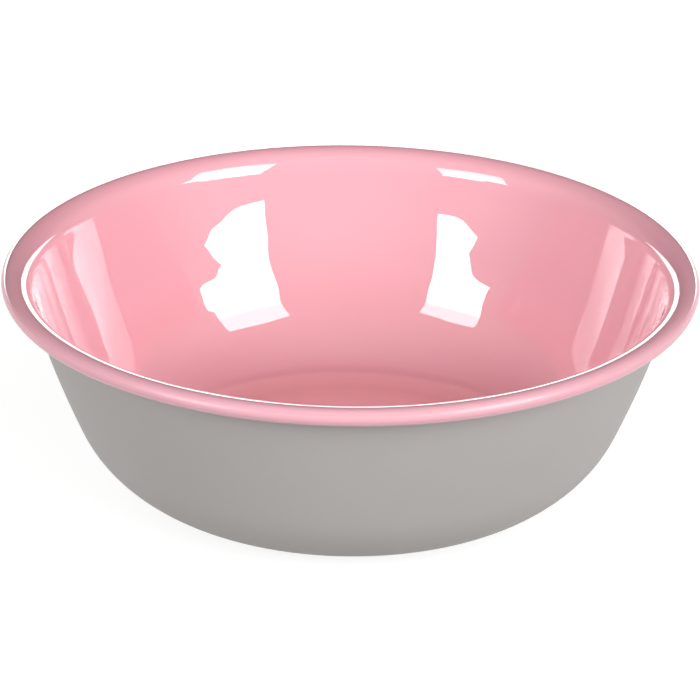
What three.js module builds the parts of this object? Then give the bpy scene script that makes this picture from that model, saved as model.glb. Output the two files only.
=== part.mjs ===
// Cat bowl: a pressed steel shell with a rolled rim, enamelled on both faces, standing on a non-slip ring.
// Millimetres, +Z up. The origin is on the ground, under the middle of the bowl.
import * as THREE from 'three';

// Overall size of the finished bowl: across the outside of the bead, and from the ground to the lip
const rimDiameter = 140;
const bowlHeight = 45.9;

// Layers of the wall, from the inside out, and the hairline gap that keeps each one a solid of its own
const innerEnamelThickness = 0.25;
const sheetThickness = 0.6;
const outerEnamelThickness = 0.2;
const layerGap = 0.02;

// Section of the finished inner face: arcs that meet smoothly, from the floor to the rolled bead.
// The wall's own long arc and the flat floor are worked out from the height and the diameter.
const cornerRadius = 17.6;
const shoulderRadius = 23.6;
const flareRadius = 7.1;
const lipRadius = 4.5;
const beadRadius = 1.85;

// Angle of the inner face from upright, in degrees, where one arc passes into the next
const shoulderAngle = 56.5;
const wallFootAngle = 22.6;
const wallTopAngle = 15.1;
const lipAngle = 29.5;

// Rolled rim: the cut edge of the sheet stands this far from the underside of the lip
const curlGap = 0.6;

// The outer enamel runs up inside the curl, to this angle on the underside of the lip
const outerEnamelEndAngle = 60;

// Non-slip ring, bonded under the flat base, in from the base's edge
const ringWidth = 6;
const ringHeight = 1;
const ringInset = 3;
const ringEdgeRadius = 0.4;

// Facets round the bowl, and along each arc of its section
const facetsRound = 48;
const cornerSteps = 4;
const shoulderSteps = 4;
const wallSteps = 2;
const flareSteps = 3;
const lipSteps = 4;
const beadSteps = 4;
const curlSteps = 6;
const ringEdgeSteps = 2;

const pinkEnamel = new THREE.MeshStandardMaterial({ color: '#f6b4c1', roughness: 0.1, metalness: 0 });
const greyEnamel = new THREE.MeshStandardMaterial({ color: '#b2aeac', roughness: 0.6, metalness: 0 });
const bareSteel = new THREE.MeshStandardMaterial({ color: '#b9bbbd', roughness: 0.35, metalness: 1 });
const greySilicone = new THREE.MeshStandardMaterial({ color: '#8f8b89', roughness: 0.8, metalness: 0 });

const sine = (degrees) => Math.sin(THREE.MathUtils.degToRad(degrees));
const cosine = (degrees) => Math.cos(THREE.MathUtils.degToRad(degrees));

// An angle of 90 degrees is level, as on the floor and the top of the lip, and 180 is straight down
const level = 90;
const straightDown = 180;
const fullTurn = 360;

// Depths of the layers below the finished inner face
const sheetTop = innerEnamelThickness + layerGap;
const sheetBottom = sheetTop + sheetThickness;
const outerEnamelTop = sheetBottom + layerGap;
const wallThickness = outerEnamelTop + outerEnamelThickness;

const floorHeight = ringHeight + layerGap + wallThickness;

// The wall's long arc takes up the height that the other arcs leave
const wallHeight = bowlHeight - floorHeight
  - cornerRadius * (1 - sine(shoulderAngle))
  - shoulderRadius * (sine(shoulderAngle) - sine(wallFootAngle))
  - flareRadius * (sine(lipAngle) - sine(wallTopAngle))
  - lipRadius * (1 - sine(lipAngle));
const wallRadius = wallHeight / (sine(wallFootAngle) - sine(wallTopAngle));

// The flat floor takes up the width that the arcs leave
const floorRadius = rimDiameter / 2 - beadRadius
  - cornerRadius * cosine(shoulderAngle)
  - shoulderRadius * (cosine(wallFootAngle) - cosine(shoulderAngle))
  - wallRadius * (cosine(wallTopAngle) - cosine(wallFootAngle))
  - flareRadius * (cosine(wallTopAngle) - cosine(lipAngle))
  - lipRadius * cosine(lipAngle);

// The curl turns on until its edge is curlGap from the lip's underside. The lip's arc and the bead's arc
// have their centres one above the other, so the place follows from the triangle of centres and edge.
const centreDrop = lipRadius - beadRadius;
const edgeReach = lipRadius - wallThickness - curlGap;
const edgeSine = (edgeReach ** 2 - beadRadius ** 2 - centreDrop ** 2) / (2 * centreDrop * beadRadius);
const curlEndAngle = fullTurn + THREE.MathUtils.radToDeg(Math.asin(edgeSine));

// Arcs of the section: each turns the face upright (-1) or outwards and over (+1), to a new angle
const wallArcs = [
  { toAngle: shoulderAngle, radius: cornerRadius, turn: -1, steps: cornerSteps },
  { toAngle: wallFootAngle, radius: shoulderRadius, turn: -1, steps: shoulderSteps },
  { toAngle: wallTopAngle, radius: wallRadius, turn: -1, steps: wallSteps },
  { toAngle: lipAngle, radius: flareRadius, turn: 1, steps: flareSteps },
];
const rolledArcs = [
  ...wallArcs,
  { toAngle: level, radius: lipRadius, turn: 1, steps: lipSteps },
  { toAngle: straightDown, radius: beadRadius, turn: 1, steps: beadSteps },
  { toAngle: curlEndAngle, radius: beadRadius, turn: 1, steps: curlSteps },
];
const outerEnamelArcs = [
  ...wallArcs,
  { toAngle: outerEnamelEndAngle, radius: lipRadius, turn: 1, steps: lipSteps / 2 },
];

// Points of the face that lies a given depth below the finished inner face, from the axis outwards
function facePoints(arcs, depth) {
  const points = [
    new THREE.Vector2(0, floorHeight - depth),
    new THREE.Vector2(floorRadius, floorHeight - depth),
  ];
  let startAngle = level;
  let startR = floorRadius;
  let startZ = floorHeight;
  for (const { toAngle, radius, turn, steps } of arcs) {
    const alongArc = (angle) => new THREE.Vector2(
      startR + turn * radius * (cosine(startAngle) - cosine(angle)),
      startZ + turn * radius * (sine(angle) - sine(startAngle)),
    );
    for (let step = 1; step <= steps; step++) {
      const angle = startAngle + (toAngle - startAngle) * step / steps;
      const intoWall = new THREE.Vector2(cosine(angle), -sine(angle));
      points.push(alongArc(angle).addScaledVector(intoWall, depth));
    }
    const end = alongArc(toAngle);
    startAngle = toAngle;
    startR = end.x;
    startZ = end.y;
  }
  return points;
}

// Turns an outline, given as distance from the axis and height, round the upright axis
function revolve(name, outline, material) {
  const geometry = new THREE.LatheGeometry(outline, facetsRound);
  geometry.rotateX(Math.PI / 2);
  const mesh = new THREE.Mesh(geometry, material);
  mesh.name = name;
  return mesh;
}

// One layer of the wall, between two depths below the finished inner face
function wallLayer(name, arcs, topDepth, bottomDepth, material) {
  const underside = facePoints(arcs, bottomDepth);
  const topside = facePoints(arcs, topDepth).reverse();
  return revolve(name, [...underside, ...topside], material);
}

// Flat ring with its two lower edges rounded
function nonSlipRing() {
  const outer = floorRadius - ringInset;
  const inner = outer - ringWidth;
  const section = new THREE.Path();
  section.moveTo(inner + ringEdgeRadius, 0);
  section.lineTo(outer - ringEdgeRadius, 0);
  section.absarc(outer - ringEdgeRadius, ringEdgeRadius, ringEdgeRadius, -Math.PI / 2, 0);
  section.lineTo(outer, ringHeight);
  section.lineTo(inner, ringHeight);
  section.absarc(inner + ringEdgeRadius, ringEdgeRadius, ringEdgeRadius, Math.PI, Math.PI * 1.5);
  const outline = section.getPoints(ringEdgeSteps / 2);
  outline[outline.length - 1].copy(outline[0]);
  return revolve('non_slip_ring', outline, greySilicone);
}

const bowl = new THREE.Group();
bowl.add(
  wallLayer('inner_enamel', rolledArcs, 0, innerEnamelThickness, pinkEnamel),
  wallLayer('steel_shell', rolledArcs, sheetTop, sheetBottom, bareSteel),
  wallLayer('outer_enamel', outerEnamelArcs, outerEnamelTop, wallThickness, greyEnamel),
  nonSlipRing(),
);

export default bowl;
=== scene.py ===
import math
import bpy
from mathutils import Matrix, Vector


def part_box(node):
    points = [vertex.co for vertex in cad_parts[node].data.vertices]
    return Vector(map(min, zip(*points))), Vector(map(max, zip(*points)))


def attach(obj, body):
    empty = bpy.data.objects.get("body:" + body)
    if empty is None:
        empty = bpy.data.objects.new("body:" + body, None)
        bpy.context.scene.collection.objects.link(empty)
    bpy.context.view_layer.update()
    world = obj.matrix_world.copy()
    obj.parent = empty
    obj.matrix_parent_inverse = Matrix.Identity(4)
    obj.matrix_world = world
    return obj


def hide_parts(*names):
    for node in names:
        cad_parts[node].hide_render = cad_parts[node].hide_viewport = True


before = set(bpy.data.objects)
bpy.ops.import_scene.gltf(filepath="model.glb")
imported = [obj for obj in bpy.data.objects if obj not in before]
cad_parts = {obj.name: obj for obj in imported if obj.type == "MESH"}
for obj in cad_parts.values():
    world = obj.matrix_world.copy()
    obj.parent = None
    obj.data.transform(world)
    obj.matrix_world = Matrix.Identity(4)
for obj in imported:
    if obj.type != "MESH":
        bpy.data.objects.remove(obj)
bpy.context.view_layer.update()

mm = 0.001
scene = bpy.context.scene
scene.view_settings.view_transform = "Standard"
scene.cycles.max_bounces = 16   # light runs many times between the glossy walls before it leaves the bowl
scene.cycles.glossy_bounces = 12

# Sockets of a colour mix, which share their names with others and so go by number
mixShare, mixFrom, mixTo, mixResult = 0, 6, 7, 2


def toLinear(hexColour):   # by the sRGB curve
    steps = [int(hexColour[i:i + 2], 16) / 255 for i in (1, 3, 5)]
    return [s / 12.92 if s <= 0.04045 else ((s + 0.055) / 1.055) ** 2.4 for s in steps] + [1.0]


def addNode(tree, kind, settings=None, links=None):
    node = tree.nodes.new("ShaderNode" + kind)
    for name, value in (settings or {}).items():
        if isinstance(name, int) or name in node.inputs:
            node.inputs[name].default_value = value
        else:
            setattr(node, name, value)
    for name, socket in (links or {}).items():
        tree.links.new(socket, node.inputs[name])
    return node


def newMaterial(name):
    material = bpy.data.materials.new(name)
    material.use_nodes = True
    material.node_tree.nodes.clear()
    return material, material.node_tree


def sinDeg(angle):
    return math.sin(math.radians(angle))


def cosDeg(angle):
    return math.cos(math.radians(angle))


# Pressed form

# One section serves every layer: the finished inner face, from the floor to the curled rim.
# Lean is how far the sheet slopes away from upright, in degrees, and it counts on over the rim.
level, straightDown, fullTurn = 90, 180, 360
form = {
    "cornerRadius": 17.6, "shoulderRadius": 23.6, "flareRadius": 7.1,   # mm
    "lipRadius": 4.5, "beadRadius": 1.85,                               # mm
    "shoulderLean": 56.5, "wallFootLean": 22.6, "wallTopLean": 15.1, "lipLean": 29.5,   # degrees
    "wallThickness": 1.09,                              # mm, all three layers together
    "curlGap": 0.6,                                     # mm, the slot left open inside the curl
    "beadFlat": 0.92,                                   # the bead is pressed a little flat: height over width
    "floorRows": (0, 0.04, 0.25, 0.5, 0.75, 0.9, 1),    # shares of the floor's radius
    "rowSpacing": 0.8, "rowSweep": 6.0,                 # the longest step up the wall, in mm and degrees
    "stepsRound": 144,
    "crispAngle": 35,                                   # degrees: only the cut edges of a coat are sharper
    "onAxis": 1e-9,                                     # mm, nearer than this is on the axis
}
innerLow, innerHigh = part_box("inner_enamel")
rimRadius = innerHigh[0] / mm
rimHeight = innerHigh[2] / mm


def sectionArcs(floorHeight):
    corner, shoulder, flare = form["cornerRadius"], form["shoulderRadius"], form["flareRadius"]
    lip, bead = form["lipRadius"], form["beadRadius"]
    shoulderLean, footLean = form["shoulderLean"], form["wallFootLean"]
    topLean, lipLean = form["wallTopLean"], form["lipLean"]

    # The wall takes up the height that the other arcs leave
    rise = corner * (1 - sinDeg(shoulderLean)) + shoulder * (sinDeg(shoulderLean) - sinDeg(footLean))
    rise += flare * (sinDeg(lipLean) - sinDeg(topLean)) + lip * (1 - sinDeg(lipLean))
    wall = (rimHeight - floorHeight - rise) / (sinDeg(footLean) - sinDeg(topLean))

    # The flat floor takes up the width that the arcs leave
    reach = corner * cosDeg(shoulderLean) + shoulder * (cosDeg(footLean) - cosDeg(shoulderLean))
    reach += wall * (cosDeg(topLean) - cosDeg(footLean)) + flare * (cosDeg(topLean) - cosDeg(lipLean))
    reach += lip * cosDeg(lipLean) + bead

    # The curl stops short of the lip's underside by the open slot
    centreDrop = lip - bead
    edgeReach = lip - form["wallThickness"] - form["curlGap"]
    edgeSin = (edgeReach ** 2 - bead ** 2 - centreDrop ** 2) / (2 * centreDrop * bead)
    curlEnd = fullTurn + math.degrees(math.asin(edgeSin))

    # Each arc ends at a lean, and turns the sheet upright (-1) or outwards and over (1)
    arcs = [(shoulderLean, corner, -1), (footLean, shoulder, -1), (topLean, wall, -1), (lipLean, flare, 1),
            (level, lip, 1), (straightDown, bead, 1), (curlEnd, bead, 1)]
    return rimRadius - reach, arcs


def pressFlat(row):
    radius, height, lean = row
    flat = form["beadFlat"]
    pressedLean = math.degrees(math.atan2(sinDeg(lean) / flat, cosDeg(lean)))
    return radius, rimHeight - (rimHeight - height) * flat, pressedLean


def innerFace(floorHeight, endLean=math.inf):
    floorRadius, arcs = sectionArcs(floorHeight)
    rows = [(floorRadius * share, floorHeight, level) for share in form["floorRows"]]
    radius, height, lean = rows[-1]
    for toLean, arcRadius, turn in arcs:
        stop = min(toLean, endLean) if turn > 0 else toLean
        sweep = abs(stop - lean)
        steps = math.ceil(max(sweep / form["rowSweep"], math.radians(sweep) * arcRadius / form["rowSpacing"]))
        for k in range(1, steps + 1):
            at = lean + (stop - lean) * k / steps
            rows.append((radius + turn * arcRadius * (cosDeg(lean) - cosDeg(at)),
                         height + turn * arcRadius * (sinDeg(at) - sinDeg(lean)), at))
        if stop < toLean:   # a coat that ends before the curl
            break
        radius, height, lean = rows[-1]
    return [pressFlat(row) if row[2] > level else row for row in rows]


def atDepth(rows, depth):
    return [(radius + depth * cosDeg(lean), height - depth * sinDeg(lean)) for radius, height, lean in rows]


def coatOutline(rows, topDepth, thickness):
    return atDepth(rows, topDepth) + atDepth(rows, topDepth + thickness)[::-1]


def lathe(name, outline, material, node, closed=False):
    steps = form["stepsRound"]
    verts, rings = [], []
    for radius, height in outline:
        if abs(radius) < form["onAxis"]:   # one vertex instead of a ring
            rings.append([len(verts)])
            verts.append((0, 0, height * mm))
            continue
        rings.append(list(range(len(verts), len(verts) + steps)))
        for k in range(steps):
            angle = math.tau * k / steps
            verts.append((radius * math.cos(angle) * mm, radius * math.sin(angle) * mm, height * mm))
    pairs = list(zip(rings, rings[1:]))
    if closed:
        pairs.append((rings[-1], rings[0]))
    faces = []
    for one, two in pairs:
        for k in range(steps):
            after = (k + 1) % steps
            corners = [one[k % len(one)], one[after % len(one)], two[after % len(two)], two[k % len(two)]]
            faces.append(list(dict.fromkeys(corners)))   # three corners where one ring is a single vertex
    mesh = bpy.data.meshes.new(name)
    mesh.from_pydata(verts, [], faces)
    mesh.validate()
    mesh.polygons.foreach_set("use_smooth", [True] * len(mesh.polygons))
    mesh.set_sharp_from_angle(angle=math.radians(form["crispAngle"]))
    mesh.materials.append(material)
    piece = bpy.data.objects.new(name, mesh)
    scene.collection.objects.link(piece)
    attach(piece, "root")
    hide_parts(node)


print("form: rim radius %.2f mm, height %.2f mm" % (rimRadius, rimHeight))


# Inside coat

# Vitreous enamel, dipped and fired glossy: a glass skin, so lamps mirror sharply in it,
# with the long low ripple of a coat that flowed.
innerCoat = {
    "thickness": 0.25,                                      # mm
    "pink": "#ecabb6", "pinkDeep": "#eaa6b2",
    "cloudSize": 30.0,                                      # mm, slow drift between the two pinks
    "low": "#f5abb5", "lowFrom": 26.0, "lowTo": 12.0,       # mm above the table: painted shade tone, the lower wall warmer and redder
    "floorShade": "#e89da3", "floorShadeFrom": 4.0, "floorShadeTo": 2.4,      # mm above the table: painted shade, the floor darker and warmer than the wall
    "thinCoatShade": "#e1a7b2", "thinCoatShadeFrom": 67.8, "thinCoatShadeTo": 68.5,    # mm from the axis: the coat runs thin and greyer over the roll, and is darkened further as painted shade on the bead
    "roughness": 0.015, "ior": 1.5,                         # the opaque coat
    "glazeRoughness": 0.015, "glazeIor": 1.6,               # the clear glaze on it
    "beadRoughness": 0.3, "beadFrom": 69.2, "beadTo": 69.8,   # mm from the axis: the glaze runs out, and it is dull
    "rippleSize": 16.0, "rippleHeight": 0.006,              # mm
    "peelSize": 6.0, "peelHeight": 0.035,                   # mm, a faint orange peel
}
pinkEnamel, tree = newMaterial("gloss_pink_vitreous_enamel")
place = addNode(tree, "TexCoord").outputs["Object"]
aboveTable = addNode(tree, "SeparateXYZ", None, {"Vector": place}).outputs["Z"]
outward = addNode(tree, "VectorMath", {"operation": "MULTIPLY", 1: (1, 1, 0)}, {0: place}).outputs["Vector"]
fromAxis = addNode(tree, "VectorMath", {"operation": "LENGTH"}, {0: outward}).outputs["Value"]

cloud = addNode(tree, "TexNoise", {"Scale": 1 / (innerCoat["cloudSize"] * mm), "Detail": 2.0}, {"Vector": place})
colour = addNode(tree, "Mix", {"data_type": "RGBA", mixFrom: toLinear(innerCoat["pink"]),
                               mixTo: toLinear(innerCoat["pinkDeep"])}, {mixShare: cloud.outputs["Fac"]})
# Tones laid over the pink by height and by distance from the axis: a painted shade tone low on the wall, painted
# shade on the floor, and over the roll a thinner coat darkened further as painted shade.
for tone, along in (("low", aboveTable), ("floorShade", aboveTable), ("thinCoatShade", fromAxis)):
    share = addNode(tree, "MapRange", {"From Min": innerCoat[tone + "From"] * mm,
                                       "From Max": innerCoat[tone + "To"] * mm}, {"Value": along})
    colour = addNode(tree, "Mix", {"data_type": "RGBA", mixTo: toLinear(innerCoat[tone])},
                     {mixShare: share.outputs["Result"], mixFrom: colour.outputs[mixResult]})

ripple = addNode(tree, "TexNoise", {"Scale": 1 / (innerCoat["rippleSize"] * mm), "Detail": 1.0}, {"Vector": place})
bump = addNode(tree, "Bump", {"Strength": 1.0, "Distance": innerCoat["rippleHeight"] * mm},
               {"Height": ripple.outputs["Fac"]})
peel = addNode(tree, "TexNoise", {"Scale": 1 / (innerCoat["peelSize"] * mm), "Detail": 0.0}, {"Vector": place})
bump = addNode(tree, "Bump", {"Strength": 1.0, "Distance": innerCoat["peelHeight"] * mm},
               {"Height": peel.outputs["Fac"], "Normal": bump.outputs["Normal"]})

bead = {"From Min": innerCoat["beadFrom"] * mm, "From Max": innerCoat["beadTo"] * mm}
dull = addNode(tree, "MapRange", {**bead, "To Min": innerCoat["roughness"], "To Max": innerCoat["beadRoughness"]},
               {"Value": fromAxis})
glaze = addNode(tree, "MapRange", {**bead, "To Min": 1.0, "To Max": 0.0}, {"Value": fromAxis})
shader = addNode(tree, "BsdfPrincipled", {"IOR": innerCoat["ior"], "Coat IOR": innerCoat["glazeIor"],
                                          "Coat Roughness": innerCoat["glazeRoughness"]},
                 {"Base Color": colour.outputs[mixResult], "Roughness": dull.outputs["Result"],
                  "Coat Weight": glaze.outputs["Result"],
                  "Normal": bump.outputs["Normal"], "Coat Normal": bump.outputs["Normal"]})
addNode(tree, "OutputMaterial", None, {"Surface": shader.outputs["BSDF"]})

floorHeight = innerLow[2] / mm + innerCoat["thickness"]
wholeFace = innerFace(floorHeight)
lathe("pinkInsideCoat", coatOutline(wholeFace, 0, innerCoat["thickness"]),
      pinkEnamel, "inner_enamel")
print("inside coat done")


# Steel sheet

# Low-carbon steel, deep-drawn, bare only at the cut edge inside the curl: a dull grey metal with lines round it.
steelSheet = {
    "depth": 0.27, "thickness": 0.6,               # mm
    "steel": "#b9bbbd", "steelDull": "#9fa1a3",
    "lineSpacing": 0.79, "lineDepth": 0.01,        # mm, drawing lines, coarser than real ones so that they show
    "lineStrength": 0.3, "lineWander": 1.5,
    "roughness": 0.38,
}
waveTurn = 20   # radians that a wave texture turns in one unit
drawnSteel, tree = newMaterial("bare_drawn_steel")
place = addNode(tree, "TexCoord").outputs["Object"]
lines = addNode(tree, "TexWave", {"wave_type": "RINGS", "rings_direction": "Z",
                                  "Scale": math.tau / (waveTurn * steelSheet["lineSpacing"] * mm),
                                  "Distortion": steelSheet["lineWander"], "Detail": 2.0}, {"Vector": place})
colour = addNode(tree, "Mix", {"data_type": "RGBA", mixFrom: toLinear(steelSheet["steel"]),
                               mixTo: toLinear(steelSheet["steelDull"])}, {mixShare: lines.outputs["Fac"]})
bump = addNode(tree, "Bump", {"Strength": steelSheet["lineStrength"], "Distance": steelSheet["lineDepth"] * mm},
               {"Height": lines.outputs["Fac"]})
shader = addNode(tree, "BsdfPrincipled", {"Metallic": 1.0, "Roughness": steelSheet["roughness"]},
                 {"Base Color": colour.outputs[mixResult], "Normal": bump.outputs["Normal"]})
addNode(tree, "OutputMaterial", None, {"Surface": shader.outputs["BSDF"]})

lathe("drawnSteelShell", coatOutline(wholeFace, steelSheet["depth"], steelSheet["thickness"]),
      drawnSteel, "steel_shell")
print("steel sheet done")


# Outside coat

# Vitreous enamel, fired matt: fine crystals scatter the light, so it shows a broad soft sheen and a faint grain.
outerCoat = {
    "depth": 0.89, "thickness": 0.2,               # mm
    "endLean": 60.0,                               # degrees, where under the lip the coat stops
    "grey": "#aeaaa8", "greyDeep": "#aaa6a4",
    "cloudSize": 22.0,                             # mm, slow drift between the two greys
    "grainSize": 0.5, "grainHeight": 0.006,        # mm, about three times the real grain so that it shows
    "roughness": 0.55, "ior": 1.5,
}
greyEnamel, tree = newMaterial("matt_grey_vitreous_enamel")
place = addNode(tree, "TexCoord").outputs["Object"]
cloud = addNode(tree, "TexNoise", {"Scale": 1 / (outerCoat["cloudSize"] * mm), "Detail": 3.0}, {"Vector": place})
colour = addNode(tree, "Mix", {"data_type": "RGBA", mixFrom: toLinear(outerCoat["grey"]),
                               mixTo: toLinear(outerCoat["greyDeep"])}, {mixShare: cloud.outputs["Fac"]})
grain = addNode(tree, "TexNoise", {"Scale": 1 / (outerCoat["grainSize"] * mm), "Detail": 2.0}, {"Vector": place})
bump = addNode(tree, "Bump", {"Strength": 1.0, "Distance": outerCoat["grainHeight"] * mm},
               {"Height": grain.outputs["Fac"]})
shader = addNode(tree, "BsdfPrincipled", {"Roughness": outerCoat["roughness"], "IOR": outerCoat["ior"]},
                 {"Base Color": colour.outputs[mixResult], "Normal": bump.outputs["Normal"]})
addNode(tree, "OutputMaterial", None, {"Surface": shader.outputs["BSDF"]})

shortFace = innerFace(floorHeight, outerCoat["endLean"])
lathe("greyOutsideCoat", coatOutline(shortFace, outerCoat["depth"], outerCoat["thickness"]),
      greyEnamel, "outer_enamel")
print("outside coat done")


# Ring underneath

# Silicone rubber, moulded in a blasted tool: soft and dull, with an even fine tooth.
footRing = {
    "inset": 3.0, "width": 6.0, "edgeRadius": 0.4,   # mm
    "edgeSteps": 6,
    "grey": "#8f8b89", "greyDeep": "#898583",
    "toothSize": 0.6, "toothHeight": 0.01,           # mm, coarser than the real tooth so that it shows
    "roughness": 0.6, "ior": 1.41,
}
greySilicone, tree = newMaterial("moulded_grey_silicone")
place = addNode(tree, "TexCoord").outputs["Object"]
tooth = addNode(tree, "TexNoise", {"Scale": 1 / (footRing["toothSize"] * mm), "Detail": 1.0}, {"Vector": place})
colour = addNode(tree, "Mix", {"data_type": "RGBA", mixFrom: toLinear(footRing["grey"]),
                               mixTo: toLinear(footRing["greyDeep"])}, {mixShare: tooth.outputs["Fac"]})
bump = addNode(tree, "Bump", {"Strength": 1.0, "Distance": footRing["toothHeight"] * mm},
               {"Height": tooth.outputs["Fac"]})
shader = addNode(tree, "BsdfPrincipled", {"Roughness": footRing["roughness"], "IOR": footRing["ior"]},
                 {"Base Color": colour.outputs[mixResult], "Normal": bump.outputs["Normal"]})
addNode(tree, "OutputMaterial", None, {"Surface": shader.outputs["BSDF"]})

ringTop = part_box("non_slip_ring")[1][2] / mm
ringOut = sectionArcs(floorHeight)[0] - footRing["inset"]
ringIn = ringOut - footRing["width"]
edge = footRing["edgeRadius"]
turns = [level * k / footRing["edgeSteps"] for k in range(footRing["edgeSteps"] + 1)]
outline = [(ringOut, ringTop)]
outline += [(ringOut - edge + edge * cosDeg(a), edge - edge * sinDeg(a)) for a in turns]
outline += [(ringIn + edge - edge * sinDeg(a), edge - edge * cosDeg(a)) for a in turns]
outline += [(ringIn, ringTop)]
lathe("siliconeFootRing", outline, greySilicone, "non_slip_ring", closed=True)
print("foot ring done")


# Camera

# It stands in front and looks down at a point above the table, on the bowl's axis.
camera = {
    "distance": 0.640, "aimHeight": 0.02102,         # m
    "elevation": 24.682, "roll": 0.704,              # degrees
    "imageWidth": 700, "focalPixels": 3128.6,
    "aimX": 348.725, "aimY": 375.880,                # pixels, where the aim point falls in the picture
    "sensorWidth": 36.0,                             # mm
    "clipNear": 0.01, "clipFar": 20.0,               # m
}
middle = (camera["imageWidth"] - 1) / 2
tilt = math.radians(camera["elevation"])
lens = bpy.data.cameras.new("studioCamera")
lens.sensor_width = camera["sensorWidth"]
lens.lens = camera["focalPixels"] / camera["imageWidth"] * camera["sensorWidth"]
lens.shift_x = (middle - camera["aimX"]) / camera["imageWidth"]
lens.shift_y = (camera["aimY"] - middle) / camera["imageWidth"]
lens.clip_start, lens.clip_end = camera["clipNear"], camera["clipFar"]
aim = Vector((0, 0, camera["aimHeight"]))
eye = Vector((0, -math.cos(tilt), math.sin(tilt))) * camera["distance"] + aim
studioCamera = bpy.data.objects.new("studioCamera", lens)
scene.collection.objects.link(studioCamera)
studioCamera.matrix_world = (Matrix.Translation(eye) @ Matrix.Rotation(math.pi / 2 - tilt, 4, "X")
                             @ Matrix.Rotation(math.radians(camera["roll"]), 4, "Z"))
scene.camera = studioCamera
print("camera done")


# Light

# Two tall soft panels in front, left and right, and a low strip behind that draws the line along the rim.
# Azimuth is 0 in front and grows to the right. An outline is in metres across and up the panel's own face.
panels = {
    "rightPanel": {
        "azimuth": 49, "elevation": 22, "distance": 1.1,
        "glow": 11.6, "topGlow": 6.2,
        "outline": [(-0.278, -0.185), (-0.094, -0.205), (0.032, -0.211), (0.156, -0.203), (0.236, -0.191),
                    (0.117, -0.144), (0.364, -0.135), (0.274, -0.039), (0.271, 0.394), (0.002, 0.426),
                    (-0.284, 0.394), (-0.300, -0.019), (-0.270, -0.085)],
    },
    "leftPanel": {
        "azimuth": -47, "elevation": 20, "distance": 1.1,
        "glow": 11.2, "topGlow": 6.0,
        "outline": [(0.233, -0.132), (0.038, -0.149), (-0.100, -0.153), (-0.052, -0.105), (-0.115, -0.086),
                    (-0.293, -0.093), (-0.260, -0.057), (-0.271, 0.293), (-0.030, 0.310), (0.211, 0.283),
                    (0.219, 0.014), (0.205, -0.050)],
    },
}
panelFade = {"from": 0.3, "to": 0.55}   # shares of a panel's height, between which it dims towards its top
backStrip = {
    "distance": 1.2, "glow": 3.6,                # m, and even all over
    "halfSweep": 47, "steps": 12,                # degrees to each side, and how many faces they take
    "low": -0.5, "high": 12.3, "ends": 7.6,      # degrees above level: the two edges, and where they run together
    "taper": 0.98,                               # how nearly the ends come to a point
}
lookAt = Vector((0, 0, 0.025))   # m, the middle of the bowl


def addStage(name, verts, faces, material):
    mesh = bpy.data.meshes.new(name)
    mesh.from_pydata(verts, [], faces)
    mesh.materials.append(material)
    thing = bpy.data.objects.new(name, mesh)
    scene.collection.objects.link(thing)
    return thing


for name, panel in panels.items():
    panelGlow, tree = newMaterial(name)
    place = addNode(tree, "TexCoord").outputs["Generated"]
    upPanel = addNode(tree, "SeparateXYZ", None, {"Vector": place}).outputs["Z"]
    fade = addNode(tree, "MapRange", {"interpolation_type": "SMOOTHSTEP",
                                      "From Min": panelFade["from"], "From Max": panelFade["to"],
                                      "To Min": panel["glow"], "To Max": panel["topGlow"]}, {"Value": upPanel})
    glow = addNode(tree, "Emission", None, {"Strength": fade.outputs["Result"]})
    addNode(tree, "OutputMaterial", None, {"Surface": glow.outputs["Emission"]})

    az, el = panel["azimuth"], panel["elevation"]
    out = Vector((sinDeg(az) * cosDeg(el), -cosDeg(az) * cosDeg(el), sinDeg(el)))
    across = Vector((cosDeg(az), sinDeg(az), 0))
    up = Vector((-sinDeg(az) * sinDeg(el), cosDeg(az) * sinDeg(el), cosDeg(el)))
    verts = [lookAt + out * panel["distance"] + across * a + up * b for a, b in panel["outline"]]
    addStage(name, verts, [list(range(len(verts)))], panelGlow).visible_camera = False

stripGlow, tree = newMaterial("backStrip")
glow = addNode(tree, "Emission", {"Strength": backStrip["glow"]})
addNode(tree, "OutputMaterial", None, {"Surface": glow.outputs["Emission"]})
verts, faces = [], []
for k in range(2 * backStrip["steps"] + 1):
    aside = k / backStrip["steps"] - 1   # -1 at the left end, 0 behind the bowl, 1 at the right end
    az = backStrip["halfSweep"] * aside
    for side in (backStrip["low"], backStrip["high"]):
        el = side + (backStrip["ends"] - side) * aside ** 2 * backStrip["taper"]
        rise = math.tan(math.radians(el))
        verts.append(lookAt + Vector((sinDeg(az), cosDeg(az), rise)) * backStrip["distance"])
    if k:   # joined to the pair of points before
        faces.append((2 * k - 2, 2 * k, 2 * k + 1, 2 * k - 1))
addStage("backStrip", verts, faces, stripGlow).visible_camera = False

# The room: one broad soft glow in front, a fainter fill from either side, and a dim rest.
studioAir = {
    "dim": 0.08, "frontGlow": 1.06, "sideFill": 0.5,
    "glowHeight": 30,                 # degrees above level, the middle of the front glow
    "glowFrom": 88, "glowTo": 5,      # degrees from that middle, where the glow starts and where it is full
    "fillFrom": 60, "fillTo": 20,     # degrees from due left or right, where the fill starts and where it is full
}
scene.world = bpy.data.worlds.new("studioAir")
scene.world.use_nodes = True
tree = scene.world.node_tree
tree.nodes.clear()
direction = addNode(tree, "TexCoord").outputs["Generated"]
glowAxis = (0, -cosDeg(studioAir["glowHeight"]), sinDeg(studioAir["glowHeight"]))
towards = addNode(tree, "VectorMath", {"operation": "DOT_PRODUCT", 1: glowAxis}, {0: direction})
glow = addNode(tree, "MapRange", {"interpolation_type": "SMOOTHSTEP",
                                  "From Min": cosDeg(studioAir["glowFrom"]), "From Max": cosDeg(studioAir["glowTo"]),
                                  "To Min": studioAir["dim"], "To Max": studioAir["frontGlow"]},
               {"Value": towards.outputs["Value"]})
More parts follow.
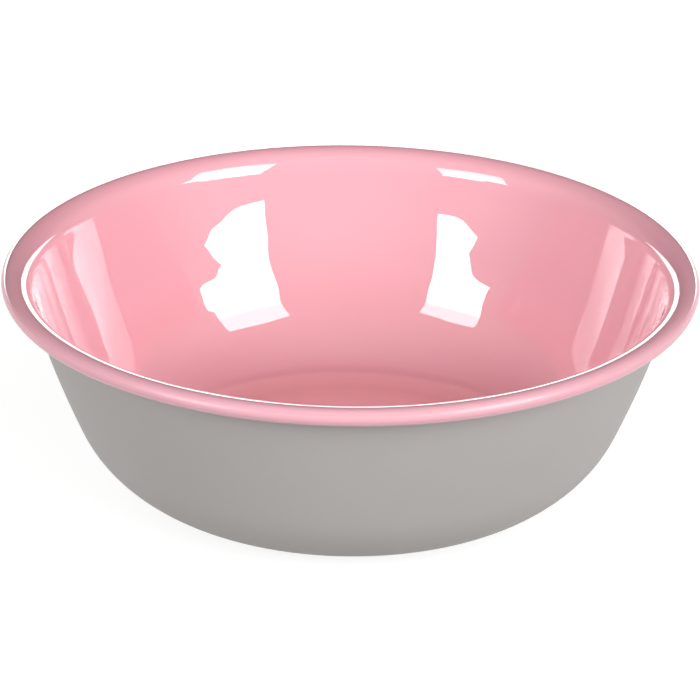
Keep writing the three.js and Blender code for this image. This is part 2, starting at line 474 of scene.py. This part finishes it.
sideways = addNode(tree, "SeparateXYZ", None, {"Vector": direction}).outputs["X"]
eitherSide = addNode(tree, "Math", {"operation": "ABSOLUTE"}, {0: sideways})
fill = addNode(tree, "MapRange", {"interpolation_type": "SMOOTHSTEP",
                                  "From Min": cosDeg(studioAir["fillFrom"]), "From Max": cosDeg(studioAir["fillTo"]),
                                  "To Min": 0.0, "To Max": studioAir["sideFill"]},
               {"Value": eitherSide.outputs["Value"]})
total = addNode(tree, "Math", {"operation": "ADD"}, {0: glow.outputs["Result"], 1: fill.outputs["Result"]})
air = addNode(tree, "Background", None, {"Strength": total.outputs["Value"]})
addNode(tree, "OutputWorld", None, {"Surface": air.outputs["Background"]})

# White laminate: to the camera and in mirrors it shows a white of its own, on top of most of the light that falls
# on it, so that the bowl still throws its shade. The light that it throws back is that of a plain pale grey.
table = {
    "halfWidth": 5.0,       # m
    "drop": 0.05,           # mm, just clear of the ring
    "paleGrey": "#a8a7a6",
    "ownWhite": 0.83, "fallingLight": 0.8,
}
laminate, tree = newMaterial("white_laminate_table")
path = addNode(tree, "LightPath").outputs
seen = path["Is Camera Ray"]
for ray in ("Is Glossy Ray", "Is Transmission Ray"):
    seen = addNode(tree, "Math", {"operation": "MAXIMUM"}, {0: seen, 1: path[ray]}).outputs["Value"]
plain = addNode(tree, "BsdfDiffuse", {"Color": toLinear(table["paleGrey"])})
shaded = addNode(tree, "MixShader", {0: table["fallingLight"]}, {2: plain.outputs["BSDF"]})
own = addNode(tree, "Emission", {"Strength": table["ownWhite"]})
bright = addNode(tree, "AddShader", None, {0: shaded.outputs["Shader"], 1: own.outputs["Emission"]})
shader = addNode(tree, "MixShader", None, {0: seen, 1: plain.outputs["BSDF"], 2: bright.outputs["Shader"]})
addNode(tree, "OutputMaterial", None, {"Surface": shader.outputs["Shader"]})
corners = [(-1, -1), (1, -1), (1, 1), (-1, 1)]
verts = [(x * table["halfWidth"], y * table["halfWidth"], -table["drop"] * mm) for x, y in corners]
addStage("tableTop", verts, [(0, 1, 2, 3)], laminate)
print("light and table done")
